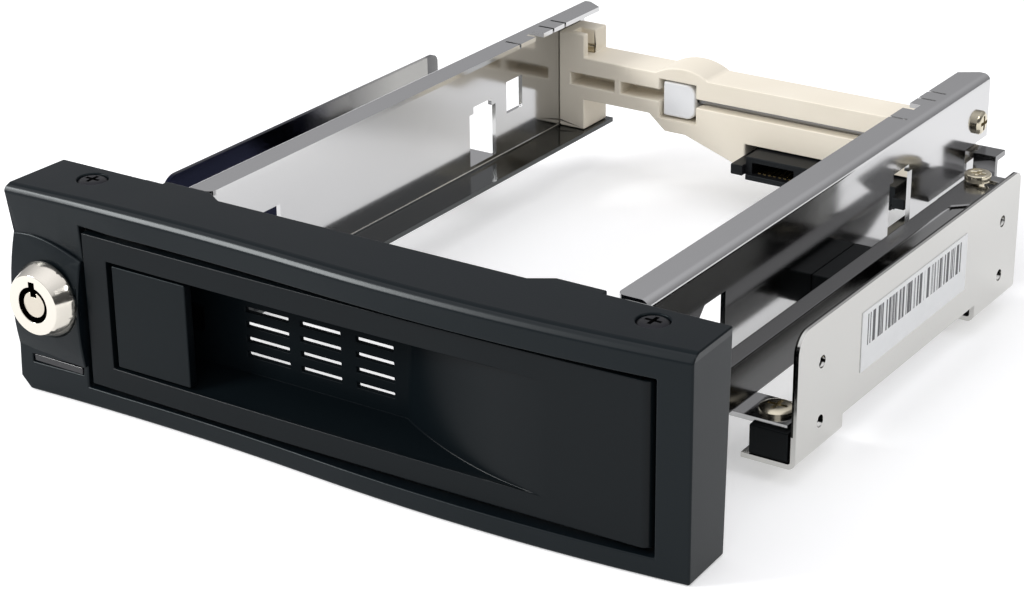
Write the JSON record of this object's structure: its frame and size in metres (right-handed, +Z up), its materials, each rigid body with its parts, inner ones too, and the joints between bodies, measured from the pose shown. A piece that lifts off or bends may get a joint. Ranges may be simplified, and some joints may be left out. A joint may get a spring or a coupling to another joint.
{
  "type": "trayless hot swap drive bay",
  "caption": "Trayless drive bay for a case's front slot: black bezel with key lock and a latched door, folded steel rails, and an ejector that the door drives.",
  "frame": {"origin": "middle of the bezel's lower edge, in the plane of the bezel's back, where it stops against the case", "axes": "+X to the right seen from the front, +Y back into the case, +Z up"},
  "size_m": [0.149, 0.1857, 0.0423],
  "materials": {
    "black_plastic": "satin moulded",
    "polished_steel": "bright rolled",
    "ejector_steel": "bright rolled",
    "lock_chrome": "polished",
    "plated_steel": "zinc plated",
    "black_screw": "black oxide",
    "spacer_rubber": "matt",
    "label_white": "matt film",
    "ivory_plastic": "satin moulded",
    "white_nylon": "satin moulded",
    "connector_black": "matt",
    "connector_ivory": "matt",
    "contact_gold": "gold flash",
    "contact_tin": "tin plated",
    "board_green": "solder mask",
    "smoked_lens": "smoked clear",
    "clear_lens": "clear"
  },
  "bodies": {
    "bay": {"bezel_frame": "black_plastic", "link_guide": "black_plastic", "left_rail": "polished_steel", "right_rail": "polished_steel", "left_side_plate": "polished_steel", "right_side_plate": "polished_steel", "lock_body": "lock_chrome", "lock_nut": "plated_steel", "door_hinge_pin": "plated_steel", "lever_pivot_pin": "plated_steel", "plate_screws": "plated_steel", "crossbar_screws": "plated_steel", "board_screws": "plated_steel", "bezel_screws": "black_screw", "plate_spacers": "spacer_rubber", "side_label": "label_white", "rear_crossbar": "ivory_plastic", "drive_connector": "connector_black", "data_socket": "connector_black", "power_socket": "connector_ivory", "connector_contacts": "contact_gold", "power_pins": "contact_tin", "backplane_board": "board_green", "led_board": "board_green", "led_lens": "smoked_lens", "status_leds": "clear_lens"},
    "door": {"door_panel": "black_plastic", "latch_pivot_pin": "plated_steel", "latch_spring": "plated_steel"},
    "latch": {"latch_pull": "black_plastic"},
    "lock": {"lock_plug": "lock_chrome", "lock_cam": "plated_steel", "cam_screw": "plated_steel"},
    "link": {"ejector_link": "ejector_steel"},
    "lever": {"ejector_lever": "ejector_steel", "ejector_pusher": "white_nylon", "link_pin": "plated_steel"}
  },
  "joints": [
    {"name": "door_hinge", "type": "hinge", "parent": "bay", "child": "door", "pos_m": [0.0636, -0.0099, 0.02025], "axis": [0, 0, 1], "range_deg": [0, 90]},
    {"name": "latch_pivot", "type": "hinge", "parent": "door", "child": "latch", "pos_m": [-0.0476, -0.0114, 0.02025], "axis": [0, 0, 1], "range_deg": [-28, 0], "deforming": ["latch_spring"]},
    {"name": "lock_turn", "type": "hinge", "parent": "bay", "child": "lock", "pos_m": [-0.0654, -0.012, 0.0208], "axis": [0, 1, 0], "range_deg": [0, 90]},
    {"name": "link_slide", "type": "slide", "parent": "bay", "child": "link", "axis": [0, 1, 0], "range_m": [0, 0.0049]},
    {"name": "lever_swing", "type": "hinge", "parent": "bay", "child": "lever", "pos_m": [0.036, 0.1487, 0.0223], "axis": [0, 0, 1], "range_deg": [0, 11.05]}
  ],
  "couplings": [
    {"joint": "link_slide", "follows": "door_hinge", "m_per_rad": 0.0031194},
    {"joint": "lever_swing", "follows": "door_hinge", "ratio": 0.12278}
  ]
}
